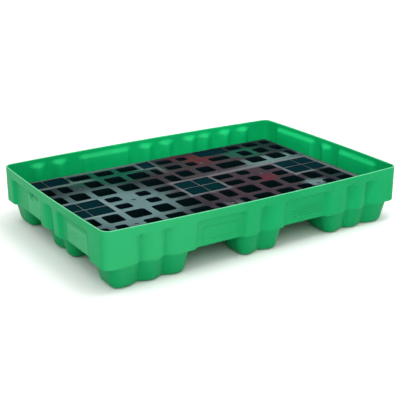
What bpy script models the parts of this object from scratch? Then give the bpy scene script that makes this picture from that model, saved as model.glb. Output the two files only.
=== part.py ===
"""Spill containment pallet: a green moulded sump tray on nine fluted feet, with a
dark lift-out grid deck in two panels, each carried on short screwed-on support pads.

Metres, +Z up.  The origin is on the floor under the middle of the tray.
X runs along the long side, Y along the short side.
"""
import math

import bpy
import bmesh
from mathutils import Vector
from mathutils.geometry import delaunay_2d_cdt

# ---------------------------------------------------------------- sizes
HALF_X, HALF_Y = 0.600, 0.397      # outside of the tray walls at the corners
BOW_LONG, BOW_SHORT = 0.0165, 0.008            # how far the rim bows out mid-side
HEIGHT = 0.2095                    # floor to rim
FOOT_H = 0.080                     # floor to the underside of the tray
SKIN = 0.0055                      # wall thickness of the moulding
CORNER_R = 0.032                   # plan radius of the tray corners
SHOULDER_TOP = HEIGHT - 0.029      # the plain band ends here
SHOULDER_LOW = HEIGHT - 0.041      # grooves and recesses are at full depth here
INNER_TOP, INNER_LOW = HEIGHT - 0.016, HEIGHT - 0.032   # the same on the inside, where it is softer

GROOVE_DEPTH, GROOVE_REACH = 0.018, 0.045
LONG_GROOVES = (-0.467, -0.378, 0.0, 0.378, 0.467)
LONG_RECESS = (0.077, 0.094, 0.257, 0.280)     # ramp down, panel, ramp up
BACK_GROOVES = LONG_GROOVES + (0.094, 0.206, 0.280)   # in place of the back's right recess
BACK_RECESS = (0.068, 0.090, 0.270, 0.300)
SHORT_GROOVES = (0.0,)
NEAR_RECESS, FAR_RECESS = (0.072, 0.088, 0.272, 0.290), (0.072, 0.088, 0.300, 0.318)
RECESS_DEPTH = 0.013

FOOT_X_END = (0.279, 0.577)        # end feet, from the middle outwards
FOOT_X_SIDE = (0.303, 0.577)       # the same in the middle row, clear of the pads
FOOT_X_MID = 0.092
FOOT_Y_END = (0.246, HALF_Y - 0.0045)
FOOT_Y_MID = 0.100
RIB = 0.010                        # thicker inner wall of a foot, under the pads
FOOT_R = 0.045
FOOT_LEAN = ((0.0, FOOT_H), (0.008, 0.045), (0.014, 0.018), (0.020, 0.006), (0.029, 0.0))
WELL_LEAN = ((0.0055, FOOT_H + 0.0055), (0.0135, 0.045), (0.0195, 0.018), (0.028, 0.0055))

DECK_TOP = HEIGHT - 0.0775
DECK_DEPTH = 0.036
DECK_X, DECK_Y = 0.570, 0.3685
SEAM_X, SEAM_Y, SEAM_GAP = -0.0105, 0.0975, 0.001
TILE_SINK = 0.003
SCREW_HEAD_R, SCREW_HEAD_H = 0.0068, 0.0040
SCREW_R, SCREW_LEN = 0.0036, 0.040
BORE_R, SINK_R, SINK_DEPTH = 0.0040, 0.0078, 0.0055
PAD_R, PAD_FOOT_R = 0.017, 0.021
GAP = 0.0003

ROW_A, ROW_B, ROW_C, ROW_D = (0.015, 0.063), (0.090, 0.1625), (0.189, 0.2595), (0.290, 0.342)
TILE_ROW = (0.282, 0.3605)

MAIN_SCREWS = {"left": (-0.279, 0.0), "right": (0.279, 0.0),
               "back_left": (-0.385, 0.212), "front_left": (-0.385, -0.212),
               "front_mid": (0.0, -0.208), "front_right": (0.385, -0.212)}
CORNER_SCREWS = {"corner_inner": (0.1616, 0.238), "corner_outer": (0.3184, 0.2386)}


# ---------------------------------------------------------------- helpers
def clear_scene():
    for obj in list(bpy.data.objects):
        bpy.data.objects.remove(obj, do_unlink=True)


def plastic(name, colour, roughness, metallic=0.0):
    mat = bpy.data.materials.new(name)
    mat.use_nodes = True
    shader = mat.node_tree.nodes["Principled BSDF"]
    shader.inputs["Base Color"].default_value = (*colour, 1.0)
    shader.inputs["Roughness"].default_value = roughness
    shader.inputs["Metallic"].default_value = metallic
    return mat


def finish(name, bm, material, location=(0.0, 0.0, 0.0), parent=None):
    """Turn a bmesh into a named object with its normals facing out."""
    bmesh.ops.remove_doubles(bm, verts=bm.verts, dist=1e-6)
    bmesh.ops.recalc_face_normals(bm, faces=bm.faces)
    mesh = bpy.data.meshes.new(name)
    bm.to_mesh(mesh)
    bm.free()
    mesh.materials.append(material)
    mesh.shade_smooth()
    mesh.set_sharp_from_angle(angle=math.radians(32))
    obj = bpy.data.objects.new(name, mesh)
    obj.location = location
    obj.parent = parent
    bpy.context.collection.objects.link(obj)
    return obj


def turned(name, profile, steps, material, location, parent):
    """A round piece: a profile of (radius, height) points spun about its own Z axis."""
    bm = bmesh.new()
    verts = [bm.verts.new((r, 0.0, z)) for r, z in profile]
    edges = [bm.edges.new(pair) for pair in zip(verts, verts[1:])]
    bmesh.ops.spin(bm, geom=verts + edges, cent=(0, 0, 0), axis=(0, 0, 1),
                   angle=2 * math.pi, steps=steps, use_merge=True)
    return finish(name, bm, material, location, parent)


def joint_empty(name, location):
    empty = bpy.data.objects.new(name, None)
    empty.empty_display_type = 'SINGLE_ARROW'
    empty.empty_display_size = 0.1
    empty.location = location
    bpy.context.collection.objects.link(empty)
    return empty


def ring(bm, points, z):
    return [bm.verts.new((x, y, z)) for x, y in points]


def skin(bm, lower, upper):
    n = len(lower)
    for i in range(n):
        j = (i + 1) % n
        bm.faces.new((lower[i], lower[j], upper[j], upper[i]))


def sheet(bm, loops):
    """Fill a flat region: the first loop is its edge, the rest are its holes."""
    verts = [v for loop in loops for v in loop]
    flat = [Vector((v.co.x, v.co.y)) for v in verts]
    edges, start = [], 0
    for loop in loops:
        n = len(loop)
        edges += [(start + i, start + (i + 1) % n) for i in range(n)]
        start += n
    _, _, tris, _, _, _ = delaunay_2d_cdt(flat, edges, [], 1, 1e-7)
    holes = [[(v.co.x, v.co.y) for v in loop] for loop in loops[1:]]
    edge = [(v.co.x, v.co.y) for v in loops[0]]
    for tri in tris:
        cx = sum(flat[i].x for i in tri) / 3
        cy = sum(flat[i].y for i in tri) / 3
        if not inside(cx, cy, edge) or any(inside(cx, cy, h) for h in holes):
            continue
        bm.faces.new([verts[i] for i in tri])


def inside(x, y, loop):
    hit = False
    for (x0, y0), (x1, y1) in zip(loop, loop[1:] + loop[:1]):
        if (y0 > y) != (y1 > y) and x < x0 + (y - y0) * (x1 - x0) / (y1 - y0):
            hit = not hit
    return hit


def inset(points, d):
    """Move a counter-clockwise loop inwards by d, with mitred corners."""
    out, n = [], len(points)
    for i in range(n):
        p0, p1, p2 = (Vector(points[k % n]) for k in (i - 1, i, i + 1))
        a, b = (p1 - p0).normalized(), (p2 - p1).normalized()
        na, nb = Vector((-a.y, a.x)), Vector((-b.y, b.x))
        m = (na + nb).normalized()
        out.append(tuple(p1 + m * (d / max(0.5, m.dot(na)))))
    return out


def rounded(x0, x1, y0, y1, r, steps=2):
    pts = []
    for cx, cy, a0 in ((x1 - r, y0 + r, -90), (x1 - r, y1 - r, 0),
                       (x0 + r, y1 - r, 90), (x0 + r, y0 + r, 180)):
        for k in range(steps + 1):
            a = math.radians(a0 + 90 * k / steps)
            pts.append((cx + r * math.cos(a), cy + r * math.sin(a)))
    return pts


def circle(x, y, r, n=12):
    return [(x + r * math.cos(2 * math.pi * k / n), y + r * math.sin(2 * math.pi * k / n))
            for k in range(n)]


# ---------------------------------------------------------------- sump tray
def groove(s, centres):
    d = 0.0
    for c in centres:
        t = abs(s - c) / GROOVE_REACH
        if t < 1:
            d = max(d, GROOVE_DEPTH * (1 - t) ** 1.7)
    return d


def recess(s, ramp):
    a, b, c, e = ramp
    s = abs(s)
    if s <= a or s >= e:
        return 0.0
    if s < b:
        return RECESS_DEPTH * (s - a) / (b - a)
    if s > c:
        return RECESS_DEPTH * (e - s) / (e - c)
    return RECESS_DEPTH


LONG_STEPS = (0.0, 0.008, 0.022, 0.045, 0.077, 0.094, 0.175, 0.257, 0.280, 0.333, 0.356,
              0.370, 0.378, 0.386, 0.400, 0.4225, 0.445, 0.459, 0.467, 0.475, 0.489,
              0.512, HALF_X - CORNER_R)
BACK_STEPS = (-0.300, -0.270, -0.175, -0.090, -0.068, 0.072, 0.086, 0.094, 0.102, 0.116, 0.139,
              0.161, 0.184, 0.198, 0.206, 0.214, 0.228, 0.243, 0.258, 0.272, 0.280, 0.288, 0.302,
              0.325)
SHORT_STEPS = (0.0, 0.008, 0.022, 0.045, 0.072, 0.088, 0.175, 0.272, 0.290, 0.300, 0.318,
               HALF_Y - CORNER_R)


def both_ways(steps):
    return [-s for s in reversed(steps[1:])] + list(steps)


def tray_outline(amount, z):
    """Plan of the outer wall face at height z, counter-clockwise; amount 0 is plain,
    1 fully fluted.  The sides bow outwards, from nothing at the floor up to the rim."""
    rise = (z - FOOT_H) / (HEIGHT - FOOT_H)

    def side(stops, depth, bow):
        end = stops[-1]
        return [(t, amount * depth(t) - rise * bow * (1 - (t / end) ** 2)) for t in stops]

    back_stops = [t for t in both_ways(LONG_STEPS) if not 0.045 < abs(t) < 0.333]
    front = side(both_ways(LONG_STEPS), front_depth, BOW_LONG)
    back = side(sorted(back_stops + list(BACK_STEPS)), back_depth, BOW_LONG)
    ends = side(both_ways(SHORT_STEPS), end_depth, BOW_SHORT)
    pts = [(x, -HALF_Y + d) for x, d in front] + corner(HALF_X, -HALF_Y, -90)
    pts += [(HALF_X - d, y) for y, d in ends] + corner(HALF_X, HALF_Y, 0)
    pts += [(x, HALF_Y - d) for x, d in reversed(back)] + corner(-HALF_X, HALF_Y, 90)
    pts += [(-HALF_X + d, y) for y, d in reversed(ends)] + corner(-HALF_X, -HALF_Y, 180)
    return pts


def front_depth(x):
    return max(groove(x, LONG_GROOVES), recess(x, LONG_RECESS))


def back_depth(x):
    return max(groove(x, BACK_GROOVES), recess(x, BACK_RECESS) if x < 0 else 0.0)


def end_depth(y):
    return max(groove(y, SHORT_GROOVES), recess(y, FAR_RECESS if y > 0 else NEAR_RECESS))


def corner(x, y, a0):
    cx = x - math.copysign(CORNER_R, x)
    cy = y - math.copysign(CORNER_R, y)
    return [(cx + CORNER_R * math.cos(math.radians(a0 + a)),
             cy + CORNER_R * math.sin(math.radians(a0 + a))) for a in (18, 36, 54, 72)]


def foot_outline(x0, x1, y0, y1, d):
    """One foot's plan drawn in by d, with flutes on the faces that look outwards."""
    def stops(a, b, cuts):
        s = {a, b}
        for c in cuts:
            for r in (0.0, 0.008, 0.022, 0.0445):
                s.update(round(v, 5) for v in (c - r, c + r) if a < v < b)
        return sorted(s)

    def arc(cx, cy, start):
        r = FOOT_R - d
        return [(cx + r * math.cos(math.radians(start + a)),
                 cy + r * math.sin(math.radians(start + a))) for a in (22.5, 45.0, 67.5)]

    long_cuts = [c for c in LONG_GROOVES if x0 + 0.02 < c < x1 - 0.02]
    short_cuts = [c for c in SHORT_GROOVES if y0 + 0.02 < c < y1 - 0.02]
    front = long_cuts if y0 < -0.2 else []
    back = long_cuts if y1 > 0.2 else []
    right = short_cuts if x1 > 0.2 else []
    left = short_cuts if x0 < -0.2 else []
    ax, bx, ay, by = x0 + FOOT_R, x1 - FOOT_R, y0 + FOOT_R, y1 - FOOT_R
    pts = [(s, y0 + d + groove(s, front)) for s in stops(ax, bx, front)]
    pts += arc(bx, ay, -90)
    pts += [(x1 - d - groove(s, right), s) for s in stops(ay, by, right)]
    pts += arc(bx, by, 0)
    pts += [(s, y1 - d - groove(s, back)) for s in reversed(stops(ax, bx, back))]
    pts += arc(ax, by, 90)
    pts += [(x0 + d + groove(s, left), s) for s in reversed(stops(ay, by, left))]
    pts += arc(ax, ay, 180)
    return pts


def build_tray():
    bm = bmesh.new()
    floor_top = FOOT_H + SKIN

    def level(amount, z, draw_in=0.0):
        return ring(bm, inset(tray_outline(amount, z), draw_in), z)

    outer = [level(1.0, FOOT_H, 0.002), level(1.0, FOOT_H + 0.006),
             level(1.0, SHOULDER_LOW), level(0.0, SHOULDER_TOP),
             level(0.0, HEIGHT - 0.0015), level(0.0, HEIGHT, 0.001)]
    inner = [level(0.0, HEIGHT, SKIN - 0.001), level(0.0, HEIGHT - 0.0015, SKIN),
             level(0.0, INNER_TOP, SKIN), level(1.0, INNER_LOW, SKIN),
             level(1.0, floor_top + 0.004, SKIN), level(1.0, floor_top, SKIN + 0.002)]
    stack = outer + inner
    for low, high in zip(stack, stack[1:]):
        skin(bm, low, high)

    y_spans = [(-FOOT_Y_END[1], -FOOT_Y_END[0]), (-FOOT_Y_MID, FOOT_Y_MID), FOOT_Y_END]
    under, wells = [outer[0]], [inner[-1]]
    for y0, y1 in y_spans:
        near, far = FOOT_X_SIDE if y1 == FOOT_Y_MID else FOOT_X_END
        for x0, x1 in ((-far, -near), (-FOOT_X_MID, FOOT_X_MID), (near, far)):
            box = (x0, x1, y0, y1)
            hollow = (x0, x1, y0 + (RIB if y0 > -0.3 else 0.0), y1 - (RIB if y1 < 0.3 else 0.0))
            side = [ring(bm, foot_outline(*box, d), z) for d, z in FOOT_LEAN]
            well = [ring(bm, foot_outline(*hollow, d), z) for d, z in WELL_LEAN]
            for wall in (side, well):
                for high, low in zip(wall, wall[1:]):
                    skin(bm, low, high)
                sheet(bm, [wall[-1]])
            under.append(side[0])
            wells.append(well[0])
    sheet(bm, under)
    sheet(bm, wells)
    return finish("sump_tray", bm, plastic("tray_green", (0.02, 0.42, 0.13), 0.42))


# ---------------------------------------------------------------- deck panels
def build_panel(name, layout, screws, parent):
    """A moulded grid: through openings, smooth sunk tiles and one bore per support pad.

    The mesh is drawn about its parent, whose height is the top of the deck."""
    outline, openings, tiles = layout
    px, py, _ = parent.location
    outline = [(x - px, y - py) for x, y in outline]
    openings = [(x0 - px, x1 - px, y0 - py, y1 - py) for x0, x1, y0, y1 in openings]
    tiles = [(x0 - px, x1 - px, y0 - py, y1 - py) for x0, x1, y0, y1 in tiles]
    screws = [(x - px, y - py) for x, y in screws]
    bm = bmesh.new()
    top_z, low_z = 0.0, -DECK_DEPTH
    top = [ring(bm, outline, top_z)]
    low = [ring(bm, outline, low_z)]
    skin(bm, low[0], top[0])
    for x0, x1, y0, y1 in openings:
        loop = rounded(x0, x1, y0, y1, 0.010)
        top.append(ring(bm, loop, top_z))
        low.append(ring(bm, loop, low_z))
        skin(bm, low[-1], top[-1])
    for x0, x1, y0, y1 in tiles:
        loop = [(x0, y0), (x1, y0), (x1, y1), (x0, y1)]
        top.append(ring(bm, loop, top_z))
        bed = ring(bm, loop, top_z - TILE_SINK)
        skin(bm, bed, top[-1])
        sheet(bm, [bed])
    for x, y in screws:
        top.append(ring(bm, circle(x, y, SINK_R), top_z))
        seat = ring(bm, circle(x, y, SINK_R), top_z - SINK_DEPTH)
        neck = ring(bm, circle(x, y, BORE_R), top_z - SINK_DEPTH)
        low.append(ring(bm, circle(x, y, BORE_R), low_z))
        skin(bm, seat, top[-1])
        skin(bm, low[-1], neck)
        skin(bm, seat, neck)
    sheet(bm, top)
    sheet(bm, low)
    return finish(name, bm, plastic(name + "_dark", (0.035, 0.045, 0.05), 0.22), parent=parent)


def mirrored(boxes):
    out = []
    for x0, x1, y0, y1 in boxes:
        out += [(x0, x1, y0, y1), (-x1, -x0, y0, y1), (x0, x1, -y1, -y0), (-x1, -x0, -y1, -y0)]
    return out


def main_layout():
    quarter = [c + ROW_A for c in ((0.0906, 0.1652), (0.194, 0.245), (0.310, 0.3674))]
    quarter += [c + ROW_B for c in ((0.015, 0.065), (0.092, 0.1685), (0.1965, 0.2645),
                                    (0.292, 0.369), (0.394, 0.4575), (0.4825, 0.544))]
    quarter += [c + ROW_C for c in ((0.038, 0.068), (0.094, 0.1715), (0.1975, 0.269),
                                    (0.293, 0.3525), (0.416, 0.4595), (0.483, 0.545))]
    quarter += [c + ROW_D for c in ((0.096, 0.173), (0.197, 0.2687), (0.2936, 0.3722))]
    tiles = [(0.0025, 0.077, 0.0025, 0.073), (0.386, 0.470, 0.0025, 0.073),
             (0.474, 0.5466, 0.0025, 0.073), (0.386, 0.472) + TILE_ROW,
             (0.476, 0.5466) + TILE_ROW, (0.0132, 0.0772) + TILE_ROW]

    def clear_of_notch(boxes):
        """Leave out what falls in the corner panel's notch, and keep a border along it."""
        out = []
        for x0, x1, y0, y1 in mirrored(boxes):
            if x0 > SEAM_X and y1 > SEAM_Y:
                continue
            if x1 < 0 < y0 and y1 > SEAM_Y:
                x1 = min(x1, SEAM_X - 0.008)
            out.append((x0, x1, y0, y1))
        return out

    openings, tiles = clear_of_notch(quarter), clear_of_notch(tiles)
    x, y = DECK_X, DECK_Y
    sx, sy = SEAM_X - SEAM_GAP, SEAM_Y - SEAM_GAP
    outline = [(-x, -y), (x, -y), (x, sy), (sx, sy), (sx, y), (-x, y)]
    return outline, openings, tiles


def corner_layout():
    x0, y0 = SEAM_X + SEAM_GAP, SEAM_Y + SEAM_GAP
    outline = [(x0, y0), (DECK_X, y0), (DECK_X, DECK_Y), (x0, DECK_Y)]
    rows = (((0.116, 0.1845), ((-0.0024, 0.0596), (0.0886, 0.1537), (0.1838, 0.2972),
                               (0.3243, 0.3988), (0.427, 0.4986), (0.5198, 0.556))),
            ((0.2165, 0.262), ((-0.0017, 0.0643), (0.0904, 0.1345), (0.1998, 0.2903))),
            ((0.2107, 0.2745), ((0.3467, 0.4001), (0.4263, 0.4829), (0.5132, 0.556))),
            ((0.294, 0.3377), ((-0.0012, 0.067), (0.0916, 0.1352))),
            ((0.305, 0.3507), ((0.3407, 0.4053), (0.4296, 0.4923), (0.5146, 0.556))))
    openings = [column + row for row, columns in rows for column in columns]
    tiles = [(0.1896, 0.3296, 0.291, 0.362)]
    return outline, openings, tiles


# ---------------------------------------------------------------- pads and screws
def build_pad(name, x, y, parent):
    """Short moulded foot under a node of the deck, with a blind hole for its screw."""
    low = FOOT_H + SKIN + GAP - DECK_TOP
    high = -DECK_DEPTH - GAP
    profile = [(0.0, low), (PAD_FOOT_R, low), (PAD_FOOT_R, low + 0.003),
               (PAD_R, low + 0.005), (PAD_R, high), (BORE_R, high),
               (BORE_R, low + 0.004), (0.0, low + 0.004)]
    px, py, _ = parent.location
    return turned(name, profile, 16, plastic(name, (0.03, 0.03, 0.032), 0.6),
                  (x - px, y - py, 0.0), parent)


def build_screw(name, x, y, parent):
    """Pan-head screw with a socket, sitting in the counterbore of the deck."""
    seat = GAP - SINK_DEPTH
    crown = seat + SCREW_HEAD_H
    profile = [(0.0, crown - SCREW_LEN), (SCREW_R * 0.6, crown - SCREW_LEN),
               (SCREW_R, crown - SCREW_LEN + 0.003), (SCREW_R, seat),
               (SCREW_HEAD_R, seat), (SCREW_HEAD_R, crown - 0.0012),
               (SCREW_HEAD_R - 0.0012, crown), (0.0027, crown),
               (0.0027, crown - 0.0022), (0.0, crown - 0.0022)]
    px, py, _ = parent.location
    return turned(name, profile, 12, plastic(name, (0.55, 0.56, 0.57), 0.35, 1.0),
                  (x - px, y - py, 0.0), parent)


# ---------------------------------------------------------------- build
clear_scene()
build_tray()
main_lift = joint_empty("main_panel_lift", (0.0, 0.0, DECK_TOP))
corner_lift = joint_empty("corner_panel_lift", (0.276, 0.230, DECK_TOP))
build_panel("grating_main", main_layout(), list(MAIN_SCREWS.values()), main_lift)
build_panel("grating_corner", corner_layout(), list(CORNER_SCREWS.values()), corner_lift)
for lift, places in ((main_lift, MAIN_SCREWS), (corner_lift, CORNER_SCREWS)):
    for place, (px, py) in places.items():
        build_pad("support_pad_" + place, px, py, lift)
        build_screw("pad_screw_" + place, px, py, lift)
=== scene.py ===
import math
import bmesh
import bpy
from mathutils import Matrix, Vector


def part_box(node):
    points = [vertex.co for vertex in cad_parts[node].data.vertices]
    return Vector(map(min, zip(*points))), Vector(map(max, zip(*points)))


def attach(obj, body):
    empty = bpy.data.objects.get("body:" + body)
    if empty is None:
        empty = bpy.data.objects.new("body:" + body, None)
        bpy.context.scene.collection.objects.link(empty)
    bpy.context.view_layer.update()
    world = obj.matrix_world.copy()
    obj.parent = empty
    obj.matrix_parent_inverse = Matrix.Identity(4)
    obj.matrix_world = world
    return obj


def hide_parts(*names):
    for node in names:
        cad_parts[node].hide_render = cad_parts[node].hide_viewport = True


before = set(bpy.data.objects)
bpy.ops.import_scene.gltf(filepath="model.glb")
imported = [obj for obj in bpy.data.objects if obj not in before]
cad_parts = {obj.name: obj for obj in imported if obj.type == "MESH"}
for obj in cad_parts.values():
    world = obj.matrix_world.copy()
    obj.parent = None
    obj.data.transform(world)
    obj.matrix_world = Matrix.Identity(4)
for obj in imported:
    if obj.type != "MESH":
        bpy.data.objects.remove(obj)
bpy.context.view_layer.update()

bpy.ops.object.select_all(action='DESELECT')

# ------------------------------------------------------------------ viewpoint
# Someone standing off the near left corner with a fairly long lens, the eye about a
# metre above the rim.
tray_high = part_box("sump_tray")[1]
rim = tray_high[2]
EYE = (-1.7302, -2.6625, rim + 1.0146)
LOOK_DOWN, LOOK_AROUND = 19.886, -32.994        # degrees
bpy.ops.object.camera_add(location=EYE, rotation=(math.radians(90 - LOOK_DOWN), 0,
                                                  math.radians(LOOK_AROUND)))
viewpoint = bpy.context.object
viewpoint.name = "viewpoint"
viewpoint.data.lens = 82.33
viewpoint.data.sensor_width = 36.0
viewpoint.data.clip_end = 60
bpy.context.scene.camera = viewpoint

# ------------------------------------------------------------------ sump tray
# One thin-walled moulding in green polyethylene: floor, nine hollow feet and four
# walls that bow out to the rim.  The walls are stiffened by V flutes and sunk
# panels under a plain band, and the flutes run on down the outer faces of the feet.
CORNER_X, CORNER_Y, CORNER_R = 0.600, 0.397, 0.032
BOW_LONG, BOW_SHORT = tray_high[1] - CORNER_Y, tray_high[0] - CORNER_X
CREASE = 0.080                      # where the feet leave the walls
SKIN = 0.0055
BAND_FOOT, PANEL_TOP = rim - 0.027, rim - 0.041
INNER_FOOT, INNER_TOP = rim - 0.014, rim - 0.033
FLUTE_DEPTH, FLUTE_REACH, PANEL_DEPTH = 0.018, 0.045, 0.013
LONG_FLUTES, SHORT_FLUTES = (-0.467, -0.378, 0.0, 0.378, 0.467), (0.0,)
BACK_FLUTES = LONG_FLUTES + (0.094, 0.206, 0.280)
LONG_PANEL, BACK_PANEL = (0.075, 0.094, 0.257, 0.282), (0.066, 0.090, 0.270, 0.302)
NEAR_PANEL, FAR_PANEL = (0.070, 0.088, 0.272, 0.292), (0.070, 0.088, 0.300, 0.320)
RAISED_LINES = (0.1015, 0.1125, 0.1235, 0.1345)
FRAME_X, FRAME_Z = (-0.243, -0.107), (0.1015, 0.1455)
LINES_X, LINE_HALF, LINE_EDGE = (0.119, 0.2555), 0.0021, 0.0010
RAISED = 0.0013                     # how far the lines and the frame stand out
RIDGES = (0.096, 0.116, 0.136, 0.156, 0.176)
RIDGED_Y, PLAIN_Y, BLOCK_Z = (0.082, 0.194), (-0.270, -0.122), (0.086, 0.163)
POCKET_Y, POCKET_Z = 0.160, 0.157
BLOCK_OUT = 0.0042                  # how far the blocks on the end walls stand out
FOOT_R = 0.045


def ease(t):
    t = min(1.0, max(0.0, t))
    return t * t * (3 - 2 * t)


def flute(s, places, soft=False):
    """Depth of the V flutes at s; on the inside of the wall they show as soft bulges."""
    depth = 0.0
    for place in places:
        t = math.hypot((s - place) / FLUTE_REACH, 0.035)
        if soft:
            t = abs(s - place) / 0.038
            depth = max(depth, FLUTE_DEPTH * max(0.0, 1 - t * t) ** 2)
        elif t < 1:
            depth = max(depth, FLUTE_DEPTH * (1 - t) ** 1.7)
    return depth


def sunk_panel(s, ramp):
    s = abs(s)
    return PANEL_DEPTH * min(ease((s - ramp[0]) / (ramp[1] - ramp[0])),
                             ease((ramp[3] - s) / (ramp[3] - ramp[2])))


def stations(end, places, extra=()):
    """Where a wall is sampled: every few millimetres, and closer in the flutes."""
    steps = round(2 * end / 0.0065)
    out = {round(-end + 2 * end * k / steps, 5) for k in range(steps + 1)}
    close = [p + d for p in places for d in (-0.004, -0.002, -0.0008, 0.0008, 0.002, 0.004)]
    close += extra
    out = {s for s in out if all(abs(s - c) > 0.0012 for c in close)}
    return sorted(out | {round(c, 5) for c in close})


panel_edges = [k * v for k in (-1, 1) for v in (0.079, 0.0845, 0.090, 0.261, 0.269, 0.277)]
back_edges = [-0.298, -0.286, -0.274, -0.086, -0.078, -0.070]
end_edges = [-0.288, -0.282, -0.276, -0.269, -0.2665, -0.127, -0.124, -0.084, -0.079, -0.074,
             0.074, 0.079, 0.084, 0.304, 0.310, 0.316]
raised_edges = [0.119, 0.1225, 0.252, 0.2555]
raised_edges += [x + d for x in FRAME_X for d in (-0.0022, -0.001, 0.001, 0.0022)]
ridge_edges = [0.0875 + 0.0035 * k for k in range(30)]
FRONT_STATIONS = stations(CORNER_X - CORNER_R, LONG_FLUTES, panel_edges + raised_edges)
BACK_STATIONS = stations(CORNER_X - CORNER_R, BACK_FLUTES, back_edges)
END_STATIONS = stations(CORNER_Y - CORNER_R, SHORT_FLUTES, end_edges + ridge_edges)


def raised(x, z):
    """Height of the moulded lines and of the plain frame in the two sunk panels of the front wall."""
    across = min(ease((x - LINES_X[0]) / 0.0035), ease((LINES_X[1] - x) / 0.0035))
    line = across * max(ease((LINE_HALF - abs(z - h)) / LINE_EDGE) for h in RAISED_LINES)
    along = min(ease((x - FRAME_X[0] + 0.0022) / 0.001), ease((FRAME_X[1] + 0.0022 - x) / 0.001))
    upright = min(ease((z - FRAME_Z[0] + 0.0021) / 0.001), ease((FRAME_Z[1] + 0.0021 - z) / 0.001))
    rails = along * max(ease((LINE_HALF - abs(z - h)) / LINE_EDGE) for h in FRAME_Z)
    stiles = upright * max(ease((0.0022 - abs(x - h)) / 0.0012) for h in FRAME_X)
    return RAISED * max(line, rails, stiles)


def ridged(y, z):
    """Raised blocks in the two panels of an end wall: upright ridges and a small pocket
    on one, faint level lines on the other."""
    tall = min(ease((z - BLOCK_Z[0]) / 0.006), ease((BLOCK_Z[1] - z) / 0.008))
    block = min(ease((y - RIDGED_Y[0]) / 0.005), ease((RIDGED_Y[1] - y) / 0.004))
    ridge = max(ease((0.0075 - abs(y - c)) / 0.0060) for c in RIDGES)
    pocket = ease((0.010 - abs(y - POCKET_Y)) / 0.004) * ease((0.009 - abs(z - POCKET_Z)) / 0.005)
    plain = min(ease((y - PLAIN_Y[0]) / 0.004), ease((PLAIN_Y[1] - y) / 0.006))
    line = max(ease((LINE_HALF - abs(z - h)) / LINE_EDGE) for h in RAISED_LINES)
    return (tall * (block * (BLOCK_OUT + 0.0016 * ridge) + plain * (BLOCK_OUT + 0.0007 * line))
            - 0.0085 * pocket)


def end_depth(y, soft):
    """How far an end wall is sunk at y, by its middle flute or by one of its two panels."""
    return max(flute(y, SHORT_FLUTES, soft), sunk_panel(y, FAR_PANEL if y > 0 else NEAR_PANEL))


def wall_plan(z, draw_in, inner=False):
    """The wall's plan at height z, anticlockwise, drawn in from the outer face."""
    top, foot = (INNER_FOOT, INNER_TOP) if inner else (BAND_FOOT, PANEL_TOP)
    amount = ease((top - z) / (top - foot))
    rise = (z - CREASE) / (rim - CREASE)
    front, back, ends = [], [], []
    for x in FRONT_STATIONS:
        d = amount * max(flute(x, LONG_FLUTES, inner), sunk_panel(x, LONG_PANEL))
        d -= 0.0 if inner else raised(x, z)
        d -= rise * BOW_LONG * (1 - (x / (CORNER_X - CORNER_R)) ** 2)
        front.append((x, -CORNER_Y + draw_in + d))
    for x in BACK_STATIONS:
        d = amount * max(flute(x, BACK_FLUTES, inner), sunk_panel(x, BACK_PANEL) if x < 0 else 0.0)
        d -= rise * BOW_LONG * (1 - (x / (CORNER_X - CORNER_R)) ** 2)
        back.append((x, CORNER_Y - draw_in - d))
    for y in END_STATIONS:
        d = amount * end_depth(y, inner)
        d -= 0.0 if inner else ridged(y, z)
        d -= rise * BOW_SHORT * (1 - (y / (CORNER_Y - CORNER_R)) ** 2)
        ends.append((CORNER_X - draw_in - d, y))

    def round_corner(cx, cy, start):
        r = CORNER_R - draw_in
        return [(cx + r * math.cos(math.radians(start + a)), cy + r * math.sin(math.radians(start + a)))
                for a in range(9, 90, 9)]

    cx, cy = CORNER_X - CORNER_R, CORNER_Y - CORNER_R
    plan = front + round_corner(cx, -cy, -90) + ends + round_corner(cx, cy, 0)
    plan += back[::-1] + round_corner(-cx, cy, 90)
    return plan + [(-x, y) for x, y in reversed(ends)] + round_corner(-cx, -cy, 180)


def stations_between(a, b, places):
    """Where one side of a foot is sampled from a to b, closer in its flutes."""
    steps = max(1, round((b - a) / 0.009))
    out = {round(a + (b - a) * k / steps, 5) for k in range(steps + 1)}
    close = [p + d for p in places for d in (-0.008, -0.004, -0.0016, 0.0016, 0.004, 0.008)
             if a < p + d < b]
    out = {s for s in out if all(abs(s - c) > 0.0012 for c in close) or s in (a, b)}
    return sorted(out | {round(c, 5) for c in close})


def foot_plan(x0, x1, y0, y1, draw_in):
    """One foot's plan: a rounded block with the flutes of the wall that it carries on from."""
    def arc(cx, cy, start):
        return [(cx + (FOOT_R - draw_in) * math.cos(math.radians(start + a)),
                 cy + (FOOT_R - draw_in) * math.sin(math.radians(start + a)))
                for a in range(9, 90, 9)]

    ax, bx, ay, by = x0 + FOOT_R, x1 - FOOT_R, y0 + FOOT_R, y1 - FOOT_R
    long_cuts = [c for c in LONG_FLUTES if x0 + 0.02 < c < x1 - 0.02]
    short_cuts = [c for c in SHORT_FLUTES if y0 + 0.02 < c < y1 - 0.02]
    front = long_cuts if y0 < -0.2 else []
    back = long_cuts if y1 > 0.2 else []
    right = short_cuts if x1 > 0.2 else []
    left = short_cuts if x0 < -0.2 else []
    pts = [(s, y0 + draw_in + flute(s, front)) for s in stations_between(ax, bx, front)]
    pts += arc(bx, ay, -90)
    pts += [(x1 - draw_in - flute(s, right), s) for s in stations_between(ay, by, right)]
    pts += arc(bx, by, 0)
    pts += [(s, y1 - draw_in - flute(s, back)) for s in reversed(stations_between(ax, bx, back))]
    pts += arc(ax, by, 90)
    pts += [(x0 + draw_in + flute(s, left), s) for s in reversed(stations_between(ay, by, left))]
    pts += arc(ax, ay, 180)
    return pts


def ring(bm, plan, z):
    return [bm.verts.new((x, y, z)) for x, y in plan]


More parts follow.
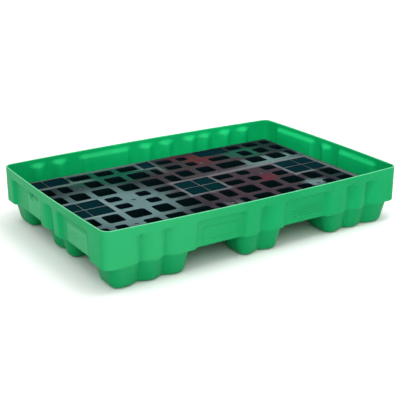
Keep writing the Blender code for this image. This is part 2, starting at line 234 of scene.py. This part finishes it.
def wrap(bm, rings):
    for low, high in zip(rings, rings[1:]):
        for i in range(len(low)):
            j = (i + 1) % len(low)
            bm.faces.new((low[i], low[j], high[j], high[i]))


def fill_between(bm, loops):
    edges = []
    for loop in loops:
        for i, v in enumerate(loop):
            w = loop[(i + 1) % len(loop)]
            edges.append(bm.edges.get((v, w)) or bm.edges.new((v, w)))
    bmesh.ops.triangle_fill(bm, use_beauty=True, edges=edges, normal=(0, 0, 1))


def smooth(piece, degrees):
    """Shade a piece smooth, with a hard line wherever two faces meet at more than the angle."""
    piece.select_set(True)
    bpy.context.view_layer.objects.active = piece
    bpy.ops.object.shade_smooth_by_angle(angle=math.radians(degrees))
    piece.select_set(False)


shoulder = [PANEL_TOP + (BAND_FOOT - PANEL_TOP) * k / 6 for k in range(7)]
line_levels = [h + d for h in RAISED_LINES for d in (-LINE_HALF, -0.0012, 0.0012, LINE_HALF)]
outer_levels = [(CREASE, 0.0032), (CREASE + 0.0005, 0.0018), (CREASE + 0.0016, 0.0006),
                (CREASE + 0.0032, 0.0), (CREASE + 0.008, 0.0), (0.094, 0.0)]
outer_levels += [(z, 0.0) for z in line_levels]
outer_levels += [(0.1434, 0.0), (0.1443, 0.0), (0.1467, 0.0), (0.1476, 0.0), (0.151, 0.0),
                 (0.1545, 0.0), (0.158, 0.0), (0.1615, 0.0), (0.165, 0.0)]
outer_levels += [(z, 0.0) for z in shoulder]
outer_levels += [(rim - 0.010, 0.0), (rim - 0.0022, 0.0), (rim - 0.0012, 0.0002),
                 (rim - 0.0004, 0.0009), (rim, 0.0020)]
floor_top = CREASE + SKIN
inner_levels = [(rim, SKIN - 0.0020), (rim - 0.0004, SKIN - 0.0009), (rim - 0.0012, SKIN - 0.0002),
                (rim - 0.0022, SKIN), (rim - 0.010, SKIN)]
inner_levels += [(INNER_FOOT + (INNER_TOP - INNER_FOOT) * k / 7, SKIN) for k in range(8)]
inner_levels += [(0.150, SKIN), (0.120, SKIN), (floor_top + 0.006, SKIN),
                 (floor_top + 0.0022, SKIN + 0.0002), (floor_top + 0.0006, SKIN + 0.0009),
                 (floor_top, SKIN + 0.0020)]

bm = bmesh.new()
outer = [ring(bm, wall_plan(z, d), z) for z, d in outer_levels]
inner = [ring(bm, wall_plan(z, d, inner=True), z) for z, d in inner_levels]
wrap(bm, outer + inner)

FOOT_LEAN = ((0.0, CREASE), (0.0012, 0.070), (0.0045, 0.058), (0.0080, 0.045), (0.0110, 0.031),
             (0.0140, 0.018), (0.0168, 0.0105), (0.0205, 0.0052), (0.0250, 0.0018),
             (0.0290, 0.0004), (0.0320, 0.0))
WELL_LEAN = ((0.0050, floor_top), (0.0062, floor_top - 0.0008), (0.0070, floor_top - 0.0040),
             (0.0135, 0.045), (0.0195, 0.018), (0.0230, 0.0100), (0.0280, 0.0060), (0.0330, SKIN))
END_X, SIDE_X, MID_X = (0.279, 0.577), (0.303, 0.577), 0.092
END_Y, MID_Y, RIB = (0.246, 0.3925), 0.100, 0.010
soles, wells = [outer[0]], [inner[-1]]
for y0, y1 in ((-END_Y[1], -END_Y[0]), (-MID_Y, MID_Y), END_Y):
    near, far = SIDE_X if y1 == MID_Y else END_X
    for x0, x1 in ((-far, -near), (-MID_X, MID_X), (near, far)):
        foot = [ring(bm, foot_plan(x0, x1, y0, y1, d), z) for d, z in FOOT_LEAN]
        hollow = (x0, x1, y0 + (RIB if y0 > -0.3 else 0.0), y1 - (RIB if y1 < 0.3 else 0.0))
        well = [ring(bm, foot_plan(*hollow, d), z) for d, z in WELL_LEAN]
        for loops in (foot, well):
            wrap(bm, loops)
            fill_between(bm, [loops[-1]])
        soles.append(foot[0])
        wells.append(well[0])
fill_between(bm, soles)
fill_between(bm, wells)
bmesh.ops.remove_doubles(bm, verts=bm.verts, dist=1e-6)
bmesh.ops.recalc_face_normals(bm, faces=bm.faces)
tray_mesh = bpy.data.meshes.new("tray_shell")
bm.to_mesh(tray_mesh)
bm.free()
tray_shell = bpy.data.objects.new("tray_shell", tray_mesh)
bpy.context.collection.objects.link(tray_shell)
smooth(tray_shell, 38)


def finish_nodes(name):
    """A new material, its node tree and its shader."""
    material = bpy.data.materials.new(name)
    material.use_nodes = True
    tree = material.node_tree
    return material, tree, tree.nodes["Principled BSDF"]


def noise(tree, place, scale, detail=4.0, roughness=0.6):
    node = tree.nodes.new("ShaderNodeTexNoise")
    node.inputs["Scale"].default_value = scale
    node.inputs["Detail"].default_value = detail
    node.inputs["Roughness"].default_value = roughness
    tree.links.new(place, node.inputs["Vector"])
    return node.outputs["Fac"]


def ramp(tree, fac, *stops):
    node = tree.nodes.new("ShaderNodeValToRGB")
    for element, (position, colour) in zip(node.color_ramp.elements, (stops[0], stops[-1])):
        element.position = position
        element.color = (*colour, 1)
    for position, colour in stops[1:-1]:
        node.color_ramp.elements.new(position).color = (*colour, 1)
    tree.links.new(fac, node.inputs["Fac"])
    return node.outputs["Color"]


def blend(tree, fac, below, above, mode='MIX'):
    node = tree.nodes.new("ShaderNodeMix")
    node.data_type, node.blend_type = 'RGBA', mode
    for socket, value in ((0, fac), (6, below), (7, above)):
        if isinstance(value, bpy.types.NodeSocket):
            tree.links.new(value, node.inputs[socket])
        elif socket:
            node.inputs[socket].default_value = (*value, 1)
        else:
            node.inputs[socket].default_value = value
    return node.outputs[2]


def spread(tree, fac, low, high, to_low=0.0, to_high=1.0):
    node = tree.nodes.new("ShaderNodeMapRange")
    node.interpolation_type = 'SMOOTHSTEP'
    for socket, value in (("From Min", low), ("From Max", high),
                          ("To Min", to_low), ("To Max", to_high)):
        node.inputs[socket].default_value = value
    tree.links.new(fac, node.inputs["Value"])
    return node.outputs["Result"]


def relief(tree, shader, *layers):
    """Stacked bumps: each layer is a height, its strength and its depth in metres."""
    normal = None
    for height, strength, depth in layers:
        node = tree.nodes.new("ShaderNodeBump")
        node.inputs["Strength"].default_value = strength
        node.inputs["Distance"].default_value = depth
        tree.links.new(height, node.inputs["Height"])
        if normal:
            tree.links.new(normal, node.inputs["Normal"])
        normal = node.outputs["Normal"]
    tree.links.new(normal, shader.inputs["Normal"])


def window(tree, *masks):
    """The product of several masks."""
    product = masks[0]
    for mask in masks[1:]:
        node = tree.nodes.new("ShaderNodeMath")
        node.operation = 'MULTIPLY'
        tree.links.new(product, node.inputs[0])
        tree.links.new(mask, node.inputs[1])
        product = node.outputs[0]
    return product


green, tree, shader = finish_nodes("green_polyethylene")
place = tree.nodes.new("ShaderNodeTexCoord").outputs["Object"]
cloudy = noise(tree, place, 9.0, 5.0)
mottle = noise(tree, place, 85.0, 3.0)
grain = noise(tree, place, 900.0, 2.0, 0.5)
scuff_map = tree.nodes.new("ShaderNodeMapping")
scuff_map.inputs["Scale"].default_value = (1.0, 1.0, 14.0)
tree.links.new(place, scuff_map.inputs["Vector"])
scuffs = noise(tree, scuff_map.outputs["Vector"], 34.0, 8.0, 0.72)
edges = tree.nodes.new("ShaderNodeNewGeometry").outputs["Pointiness"]
apart = tree.nodes.new("ShaderNodeSeparateXYZ")
tree.links.new(place, apart.inputs[0])
along, across, upward = apart.outputs["X"], apart.outputs["Y"], apart.outputs["Z"]

colour = ramp(tree, cloudy, (0.30, (0.001, 0.335, 0.100)), (0.70, (0.003, 0.385, 0.122)))
colour = blend(tree, spread(tree, mottle, 0.40, 0.80, 0.0, 0.40), colour, (0.006, 0.420, 0.150))
colour = blend(tree, spread(tree, scuffs, 0.62, 0.80, 0.0, 0.20), colour, (0.05, 0.48, 0.22))
# Paler towards the left end of the front wall: a painted sheen.
painted_sheen_near_left = window(tree, spread(tree, across, -0.370, -0.392),
               spread(tree, along, 0.10, -0.45, 0.0, 0.85))
colour = blend(tree, painted_sheen_near_left, colour, (0.026, 0.430, 0.150))
ends = window(tree, spread(tree, upward, 0.084, 0.090), spread(tree, upward, 0.165, 0.159))
for low, high in ((-0.272, -0.122), (0.080, 0.196)):
    for side in (-1, 1):
        grained = window(tree, ends, spread(tree, across, low, low + 0.006),
                         spread(tree, across, high, high - 0.006),
                         spread(tree, along, side * 0.5868, side * 0.5890, 0.0, 0.75))
        colour = blend(tree, grained, colour, (0.060, 0.440, 0.185))
# Darker below the crease: painted shade on the feet under the walls.
feet_painted_shade = spread(tree, upward, CREASE + 0.006, CREASE - 0.010, 0.0, 0.60)
colour = blend(tree, feet_painted_shade, colour, (0.001, 0.265, 0.085))
# Lighter on sharp convex edges and shoulders: painted highlight, partly edge wear.
colour = blend(tree, spread(tree, edges, 0.52, 0.60, 0.0, 0.50), colour, (0.080, 0.560, 0.270))
# Darker in creases and hollows: painted shade.
colour = blend(tree, spread(tree, edges, 0.49, 0.42, 0.0, 0.32), colour, (0.000, 0.15, 0.045))
# A lighter line along the top of the rim: painted highlight.
rim_painted_highlight = spread(tree, upward, rim - 0.0024, rim - 0.0006, 0.0, 0.50)
colour = blend(tree, rim_painted_highlight, colour, (0.25, 0.66, 0.40))
tree.links.new(colour, shader.inputs["Base Color"])
tree.links.new(spread(tree, scuffs, 0.30, 0.75, 0.36, 0.56), shader.inputs["Roughness"])
shader.inputs["IOR"].default_value = 1.50
shader.inputs["Specular IOR Level"].default_value = 0.09
relief(tree, shader, (mottle, 0.10, 0.0006), (grain, 0.12, 0.00015))
# A lighter copy of the same green: painted light on the inner wall faces and on every upward face.
green_painted_light_inside = green.copy()
green_painted_light_inside.name = "green_polyethylene_painted_light_inside"
stops = green_painted_light_inside.node_tree.nodes["Color Ramp"].color_ramp.elements
stops[0].color, stops[1].color = (0.0, 0.365, 0.104, 1), (0.001, 0.425, 0.122, 1)
tray_shell.data.materials.append(green)
tray_shell.data.materials.append(green_painted_light_inside)
# Inner wall faces and upward faces take the lighter copy: painted light.
for face in tray_shell.data.polygons:
    inwards = face.normal.x * face.center.x + face.normal.y * face.center.y < 0
    if inwards and face.center.z > floor_top or face.normal.z > 0.9:
        face.material_index = 1
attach(tray_shell, "tray")
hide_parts("sump_tray")

# ------------------------------------------------------------------ deck panels
# Two drop-in gratings moulded in dark plastic, 36 mm deep: rounded through openings
# between broad flat ribs, and smooth sunk tiles over the hollow feet.  They rest on
# screwed-on pads and lift straight out.
deck_low, deck_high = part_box("grating_main")
deck_top, deck_foot = deck_high[2], deck_low[2]
DECK_X, DECK_Y = deck_high[0], deck_high[1]
seam_low, seam_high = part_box("grating_corner")
TILE_SINK = 0.003
OPENING_R = 0.0115
SCREW_SEAT_R, SCREW_SEAT, SCREW_BORE_R = 0.0078, 0.0055, 0.0042
PAST = 0.01                         # how far a cutter runs past the panel

ROW_A, ROW_B, ROW_C, ROW_D = (0.015, 0.063), (0.090, 0.1625), (0.189, 0.2595), (0.290, 0.342)
TILE_ROW = (0.282, 0.3605)
main_quarter = [c + ROW_A for c in ((0.0906, 0.1652), (0.194, 0.245), (0.310, 0.3674))]
main_quarter += [c + ROW_B for c in ((0.015, 0.065), (0.092, 0.1685), (0.1965, 0.2645),
                                     (0.292, 0.369), (0.394, 0.4575), (0.4825, 0.544))]
main_quarter += [c + ROW_C for c in ((0.038, 0.068), (0.094, 0.1715), (0.1975, 0.269),
                                     (0.293, 0.3525), (0.416, 0.4595), (0.483, 0.545))]
main_quarter += [c + ROW_D for c in ((0.096, 0.173), (0.197, 0.2687), (0.2936, 0.3722))]
tile_quarter = [(0.0013, 0.077, 0.0013, 0.073), (0.386, 0.4713, 0.0013, 0.073),
                (0.4727, 0.5466, 0.0013, 0.073), (0.386, 0.4733) + TILE_ROW,
                (0.4747, 0.5466) + TILE_ROW, (0.0132, 0.0772) + TILE_ROW]
corner_rows = (((0.116, 0.1845), ((-0.0024, 0.0596), (0.0886, 0.1537), (0.1838, 0.2972),
                                  (0.3243, 0.3988), (0.427, 0.4986), (0.5198, 0.556))),
               ((0.2165, 0.262), ((-0.0017, 0.0643), (0.0904, 0.1345), (0.1998, 0.2903))),
               ((0.2107, 0.2745), ((0.3467, 0.4001), (0.4263, 0.4829), (0.5132, 0.556))),
               ((0.294, 0.3377), ((-0.0012, 0.067), (0.0916, 0.1352))),
               ((0.305, 0.3507), ((0.3407, 0.4053), (0.4296, 0.4923), (0.5146, 0.556))))
corner_openings = [column + row for row, columns in corner_rows for column in columns]
corner_tiles = [(0.1896, 0.3296, 0.291, 0.362)]


def four_quarters(boxes):
    """Mirror one quarter's boxes round the deck and keep them out of the small panel's place."""
    out = []
    for x0, x1, y0, y1 in boxes:
        for a, b in ((x0, x1), (-x1, -x0)):
            for c, d in ((y0, y1), (-y1, -y0)):
                if a > seam_low[0] - 0.001 and d > seam_low[1]:
                    continue
                if b < 0 < c and d > seam_low[1]:
                    b = min(b, seam_low[0] - 0.009)
                out.append((a, b, c, d))
    return out


def block(x0, x1, y0, y1, z0, z1, corner=0.0):
    """A block in its place, its upright edges rounded when a corner radius is given."""
    bpy.ops.mesh.primitive_cube_add(size=1, location=((x0 + x1) / 2, (y0 + y1) / 2, (z0 + z1) / 2),
                                    scale=(x1 - x0, y1 - y0, z1 - z0))
    bpy.ops.object.transform_apply(location=True, rotation=True, scale=True)
    made = bpy.context.object
    if corner:
        bpy.ops.object.mode_set(mode='EDIT')
        bpy.ops.mesh.select_mode(type='EDGE')
        mesh = bmesh.from_edit_mesh(made.data)
        for edge in mesh.edges:
            edge.select_set(abs(edge.verts[0].co.z - edge.verts[1].co.z) > 1e-4)
        mesh.select_flush_mode()
        bmesh.update_edit_mesh(made.data)
        bpy.ops.mesh.bevel(offset=corner, segments=5)
        bpy.ops.object.mode_set(mode='OBJECT')
    return made


def join(pieces):
    bpy.ops.object.select_all(action='DESELECT')
    for piece in pieces:
        piece.select_set(True)
    bpy.context.view_layer.objects.active = pieces[0]
    if len(pieces) > 1:
        bpy.ops.object.join()
    joined = bpy.context.object
    joined.select_set(False)
    return joined


def apply_modifier(piece, kind, **settings):
    bpy.ops.object.select_all(action='DESELECT')
    piece.select_set(True)
    bpy.context.view_layer.objects.active = piece
    modifier = piece.modifiers.new(kind.lower(), kind)
    for name, value in settings.items():
        setattr(modifier, name, value)
    bpy.ops.object.modifier_apply(modifier=modifier.name)
    piece.select_set(False)


def cut(piece, cutters):
    tool = join(cutters)
    apply_modifier(piece, 'BOOLEAN', operation='DIFFERENCE', solver='EXACT', object=tool)
    bpy.data.objects.remove(tool, do_unlink=True)


def cylinder(radius, depth, location, sides=32):
    bpy.ops.mesh.primitive_cylinder_add(vertices=sides, radius=radius, depth=depth,
                                        location=location)
    bpy.ops.object.transform_apply(location=True, rotation=True, scale=True)
    return bpy.context.object


def screw_seat(x, y):
    """The cutters for a screw's sunk seat and for the bore under it."""
    seat = cylinder(SCREW_SEAT_R, 2 * SCREW_SEAT, (x, y, deck_top))
    return [seat, cylinder(SCREW_BORE_R, 0.1, (x, y, deck_top - 0.0562))]


def grating(name, body, openings, tiles, screws):
    """Cut the openings, the tile beds and the screw seats, then round every edge."""
    cut(body, [block(*box, deck_foot - PAST, deck_top + PAST, OPENING_R) for box in openings])
    cut(body, [block(*box, deck_top - TILE_SINK, deck_top + PAST) for box in tiles])
    seats = [screw_seat(x, y) for x, y in screws]
    cut(body, [seat for seat, _ in seats])
    cut(body, [bore for _, bore in seats])
    apply_modifier(body, 'BEVEL', width=0.0011, segments=2, limit_method='ANGLE',
                   angle_limit=math.radians(40), harden_normals=False)
    smooth(body, 35)
    body.name = body.data.name = name
    return body


main_body = block(-DECK_X, DECK_X, -DECK_Y, DECK_Y, deck_foot, deck_top)
cut(main_body, [block(seam_low[0] - 0.002, DECK_X + 0.05, seam_low[1] - 0.002, DECK_Y + 0.05,
                      deck_foot - PAST, deck_top + PAST)])
main_screws = [(-0.279, 0.0), (0.279, 0.0), (-0.385, 0.212), (-0.385, -0.212),
               (0.0, -0.208), (0.385, -0.212)]
corner_screws = [(0.1616, 0.238), (0.3184, 0.2386)]
deck_main = grating("deck_main_panel", main_body, four_quarters(main_quarter),
                    four_quarters(tile_quarter), main_screws)
corner_body = block(seam_low[0], seam_high[0], seam_low[1], seam_high[1], deck_foot, deck_top)
deck_corner = grating("deck_corner_panel", corner_body, corner_openings, corner_tiles, corner_screws)


def patch(tree, place, x, y, reach_x, reach_y, soft=0.35):
    """A soft-edged oval patch on the deck, 1 in its middle and 0 outside."""
    move = tree.nodes.new("ShaderNodeMapping")
    move.inputs["Location"].default_value = (-x / reach_x, -y / reach_y, 0)
    move.inputs["Scale"].default_value = (1 / reach_x, 1 / reach_y, 0)
    tree.links.new(place, move.inputs["Vector"])
    length = tree.nodes.new("ShaderNodeVectorMath")
    length.operation = 'LENGTH'
    tree.links.new(move.outputs["Vector"], length.inputs[0])
    return spread(tree, length.outputs["Value"], 1.0, soft)


def dark_finish(name, base, streaks, tints_and_reflections, rough, gloss):
    """Dark plastic, clouded from base to streaks, with soft tinted patches, fine scratches and lighter
    sharp edges. On the ribs the patches are painted reflections; the lighter edges are a painted
    highlight, partly edge wear.
    """
    material, tree, shader = finish_nodes(name)
    place = tree.nodes.new("ShaderNodeTexCoord").outputs["Object"]
    cloudy = noise(tree, place, 6.0, 4.0)
    specks = noise(tree, place, 160.0, 3.0)
    grain = noise(tree, place, 700.0, 2.0, 0.5)
    scratch_map = tree.nodes.new("ShaderNodeMapping")
    scratch_map.inputs["Scale"].default_value = (1.0, 9.0, 1.0)
    scratch_map.inputs["Rotation"].default_value = (0, 0, 0.5)
    tree.links.new(place, scratch_map.inputs["Vector"])
    scratches = noise(tree, scratch_map.outputs["Vector"], 60.0, 8.0, 0.75)
    colour = ramp(tree, cloudy, (0.30, base), (0.72, streaks))
    wavy = tree.nodes.new("ShaderNodeVectorMath")
    wavy.operation = 'MULTIPLY_ADD'
    stir = tree.nodes.new("ShaderNodeTexNoise")
    stir.inputs["Scale"].default_value = 7.0
    tree.links.new(place, stir.inputs["Vector"])
    tree.links.new(stir.outputs["Color"], wavy.inputs[0])
    wavy.inputs[1].default_value = (0.09, 0.09, 0.0)
    shift = tree.nodes.new("ShaderNodeVectorMath")
    shift.operation = 'SUBTRACT'
    tree.links.new(place, shift.inputs[0])
    shift.inputs[1].default_value = (0.045, 0.045, 0.0)
    tree.links.new(shift.outputs["Vector"], wavy.inputs[2])
    # Soft tinted patches: on the ribs these are painted reflections, elsewhere plain tone patches.
    for x, y, reach_x, reach_y, tint, strength in tints_and_reflections:
        mask = patch(tree, wavy.outputs["Vector"], x, y, reach_x, reach_y)
        node = tree.nodes.new("ShaderNodeMath")
        node.operation = 'MULTIPLY'
        tree.links.new(mask, node.inputs[0])
        node.inputs[1].default_value = strength
        colour = blend(tree, node.outputs["Value"], colour, tint)
    colour = blend(tree, spread(tree, scratches, 0.62, 0.84, 0.0, 0.12), colour, (0.16, 0.20, 0.21))
    # Lighter on sharp edges: painted highlight on the rounded rib edges, partly edge wear.
    edges = tree.nodes.new("ShaderNodeNewGeometry").outputs["Pointiness"]
    colour = blend(tree, spread(tree, edges, 0.53, 0.62, 0.0, 0.35), colour, (0.22, 0.26, 0.27))
    tree.links.new(colour, shader.inputs["Base Color"])
    tree.links.new(spread(tree, specks, 0.30, 0.75, rough, rough + 0.14), shader.inputs["Roughness"])
    shader.inputs["IOR"].default_value = 1.50
    shader.inputs["Specular IOR Level"].default_value = gloss
    relief(tree, shader, (specks, 0.06, 0.0004), (grain, 0.10, 0.00012))
    return material


# Tints for the rib patches, painted reflections: grey of the pale surround, green of the tray walls,
# wine and red.
REFLECTED_GREY, REFLECTED_WINE = (0.098, 0.170, 0.174), (0.030, 0.016, 0.025)
REFLECTED_GREEN, REFLECTED_RED = (0.004, 0.060, 0.038), (0.070, 0.008, 0.017)
rib_finish = dark_finish("dark_rib_plastic", (0.006, 0.010, 0.015), (0.012, 0.018, 0.024),
                         ((0.16, 0.02, 0.46, 0.46, REFLECTED_WINE, 0.95), (-0.36, -0.05, 0.30, 0.30, REFLECTED_GREY, 0.95),
                          (-0.24, 0.28, 0.26, 0.12, REFLECTED_GREEN, 0.95), (0.42, 0.13, 0.20, 0.07, REFLECTED_GREY, 0.85),
                          (0.38, 0.25, 0.14, 0.07, REFLECTED_GREEN, 0.9), (0.165, 0.26, 0.08, 0.08, REFLECTED_RED, 0.85),
                          (0.09, 0.32, 0.07, 0.05, REFLECTED_RED, 0.5), (0.27, -0.06, 0.07, 0.06, REFLECTED_RED, 0.75),
                          (0.14, -0.12, 0.10, 0.05, REFLECTED_RED, 0.25), (0.385, -0.19, 0.07, 0.06, REFLECTED_GREY, 0.8)),
                         0.32, 0.035)
tile_finish = dark_finish("dark_tile_plastic", (0.001, 0.010, 0.014), (0.002, 0.017, 0.021),
                          ((0.0, 0.0, 0.15, 0.12, (0.001, 0.016, 0.018), 0.6),), 0.42, 0.0)
# A darker copy of the dark plastic for the sides of the openings and the undersides: painted shade.
opening_painted_shade_finish = dark_finish("dark_plastic_painted_shade_openings", (0.001, 0.003, 0.005), (0.001, 0.008, 0.010),
                          ((0.0, 0.0, 0.9, 0.9, (0.001, 0.007, 0.010), 0.6),), 0.34, 0.10)
for panel, node, body in ((deck_main, "grating_main", "main_panel"),
                          (deck_corner, "grating_corner", "corner_panel")):
    panel.data.materials.clear()
    for finish in (rib_finish, tile_finish, opening_painted_shade_finish):
        panel.data.materials.append(finish)
    # Sunk tile beds take the tile finish; the sides of the openings and the undersides take the darker
    # copy, painted shade.
    for face in panel.data.polygons:
        if face.normal.z > 0.9 and abs(face.center.z - (deck_top - TILE_SINK)) < 0.0004:
            face.material_index = 1
        elif abs(face.normal.z) < 0.3 or face.normal.z < -0.3:
            face.material_index = 2
    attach(panel, body)
    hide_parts(node)

# ------------------------------------------------------------------ support pads
# Low round feet of matt black plastic under the deck's node plates.  They carry the
# deck clear of the tray floor, each held up to its plate by a screw from above.
pad_names = ["left", "right", "back_left", "front_left", "front_mid", "front_right"]
pad_places = list(zip(pad_names, main_screws, ["main_panel"] * 6))
pad_places += list(zip(["corner_inner", "corner_outer"], corner_screws, ["corner_panel"] * 2))


def turned(name, profile, sides=40):
    """A round piece drawn upwards from a disc by extruding and widening ring after ring."""
    (radius, z), rest = profile[0], profile[1:]
    bpy.ops.mesh.primitive_circle_add(vertices=sides, radius=radius, fill_type='NGON',
                                      location=(0, 0, z))
    bpy.ops.object.transform_apply(location=True, rotation=True, scale=True)
    piece = bpy.context.object
    bpy.ops.object.mode_set(mode='EDIT')
    bpy.ops.mesh.select_all(action='SELECT')
    for r, height in rest:
        bpy.ops.mesh.extrude_region_move(TRANSFORM_OT_translate={"value": (0, 0, height - z)})
        bpy.ops.transform.resize(value=(r / radius, r / radius, 1), center_override=(0, 0, height))
        radius, z = r, height
    bpy.ops.mesh.select_all(action='SELECT')
    bpy.ops.mesh.remove_doubles(threshold=1e-6)
    bpy.ops.mesh.normals_make_consistent(inside=False)
    bpy.ops.object.mode_set(mode='OBJECT')
    piece.name = piece.data.name = name
    return piece


def copy_to(piece, name, x, y, z):
    twin = piece.copy()
    twin.data = piece.data.copy()
    twin.name = twin.data.name = name
    for v in twin.data.vertices:
        v.co += Vector((x, y, z))
    bpy.context.collection.objects.link(twin)
    return twin


pad_low, pad_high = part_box("support_pad_left")
pad_tall = pad_high[2] - pad_low[2]
pad_profile = [(0.0190, 0.0), (0.0206, 0.0005), (0.0210, 0.0013), (0.0210, 0.0026),
               (0.0200, 0.0035), (0.0180, 0.0045), (0.0170, 0.0054),
               (0.0169, pad_tall - 0.0010), (0.0162, pad_tall - 0.0002), (0.0152, pad_tall),
               (0.0044, pad_tall), (0.0040, pad_tall - 0.0004), (0.0040, 0.0046), (0.0030, 0.0042)]
pad_pattern = turned("pad_pattern", pad_profile)
smooth(pad_pattern, 35)

matt_black, tree, shader = finish_nodes("matt_black_plastic")
place = tree.nodes.new("ShaderNodeTexCoord").outputs["Object"]
dust, grain = noise(tree, place, 45.0, 5.0), noise(tree, place, 900.0, 2.0)
colour = ramp(tree, dust, (0.35, (0.018, 0.018, 0.020)), (0.70, (0.050, 0.050, 0.052)))
edges = tree.nodes.new("ShaderNodeNewGeometry").outputs["Pointiness"]
colour = blend(tree, spread(tree, edges, 0.53, 0.62, 0.0, 0.5), colour, (0.12, 0.12, 0.12))
tree.links.new(colour, shader.inputs["Base Color"])
tree.links.new(spread(tree, dust, 0.3, 0.7, 0.48, 0.68), shader.inputs["Roughness"])
relief(tree, shader, (grain, 0.15, 0.0002))
pad_pattern.data.materials.append(matt_black)
for name, (x, y), body in pad_places:
    pad = copy_to(pad_pattern, "deck_pad_" + name, x, y, pad_low[2])
    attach(pad, body)
    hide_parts("support_pad_" + name)
bpy.data.objects.remove(pad_pattern, do_unlink=True)

# ------------------------------------------------------------------ pad screws
# Stainless pan-head screws with a hexagon socket, turned and brushed, one through
# each node plate of the deck into its pad.
screw_low, screw_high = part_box("pad_screw_left")
crown = screw_high[2] - screw_low[2]
HEXAGON_R, HEXAGON_DEEP = 0.0029, 0.0023
screw_profile = [(0.0018, 0.0), (0.0036, 0.0028), (0.0036, crown - 0.0041),
                 (0.0062, crown - 0.0040), (0.0067, crown - 0.0036), (0.0068, crown - 0.0018),
                 (0.0062, crown - 0.0007), (0.0048, crown - 0.0001), (0.0038, crown)]
screw_pattern = turned("screw_pattern", screw_profile)
cut(screw_pattern, [cylinder(HEXAGON_R, 2 * HEXAGON_DEEP, (0, 0, crown), sides=6)])
smooth(screw_pattern, 35)

steel, tree, shader = finish_nodes("brushed_steel")
place = tree.nodes.new("ShaderNodeTexCoord").outputs["Object"]
turning, smudge = noise(tree, place, 1400.0, 3.0), noise(tree, place, 220.0, 4.0)
colour = ramp(tree, smudge, (0.35, (0.16, 0.17, 0.18)), (0.70, (0.42, 0.43, 0.44)))
tree.links.new(colour, shader.inputs["Base Color"])
shader.inputs["Metallic"].default_value = 1.0
tree.links.new(spread(tree, smudge, 0.3, 0.7, 0.28, 0.46), shader.inputs["Roughness"])
relief(tree, shader, (turning, 0.12, 0.0001))
screw_pattern.data.materials.clear()
screw_pattern.data.materials.append(steel)
for name, (x, y), body in pad_places:
    screw = copy_to(screw_pattern, "deck_screw_" + name, x, y, screw_low[2])
    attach(screw, body)
    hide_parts("pad_screw_" + name)
bpy.data.objects.remove(screw_pattern, do_unlink=True)

# ------------------------------------------------------------------ studio
# A plain pale floor in a white surround that brightens upwards, and three soft round
# lamps: near the left front, over the deck, and a weak narrow one on the far corner.
bpy.ops.mesh.primitive_plane_add(size=40, location=(0, 0, -0.0005))
studio_floor = bpy.context.object
studio_floor.name = "studio_floor"
paper, tree, shader = finish_nodes("floor_paper")
shader.inputs["Base Color"].default_value = (0.97, 0.97, 0.97, 1)
shader.inputs["Roughness"].default_value = 0.9
studio_floor.data.materials.append(paper)
studio_floor.select_set(False)

surround = bpy.data.worlds.new("surround")
surround.use_nodes = True
sky = surround.node_tree
direction = sky.nodes.new("ShaderNodeSeparateXYZ")
sky.links.new(sky.nodes.new("ShaderNodeTexCoord").outputs["Generated"], direction.inputs[0])
brightness = spread(sky, direction.outputs["Z"], 0.25, 0.85, 0.40, 1.35)
sky.links.new(brightness, sky.nodes["Background"].inputs["Strength"])
sky.nodes["Background"].inputs["Color"].default_value = (1.0, 1.0, 1.0, 1)
bpy.context.scene.world = surround
bpy.context.scene.view_settings.view_transform = 'Standard'


def soft_lamp(name, location, target, size, power, beam=180):
    bpy.ops.object.light_add(type='AREA', location=location)
    lamp = bpy.context.object
    lamp.name = name
    lamp.data.shape, lamp.data.size, lamp.data.energy = 'DISK', size, power
    lamp.data.spread = math.radians(beam)
    lamp.rotation_euler = (Vector(target) - Vector(location)).to_track_quat('-Z', 'Y').to_euler()
    lamp.select_set(False)


soft_lamp("lamp_near_left", (-1.3, -2.6, 1.7), (-0.3, -0.2, 0.1), 1.6, 13)
soft_lamp("lamp_over_deck", (0.3, -0.5, 2.6), (0, 0.3, 0.1), 1.4, 24)
soft_lamp("lamp_far_corner", (-0.7, -0.9, 2.2), (0.5, 0.36, 0.15), 0.6, 2.0, 46)

bpy.context.view_layer.update()
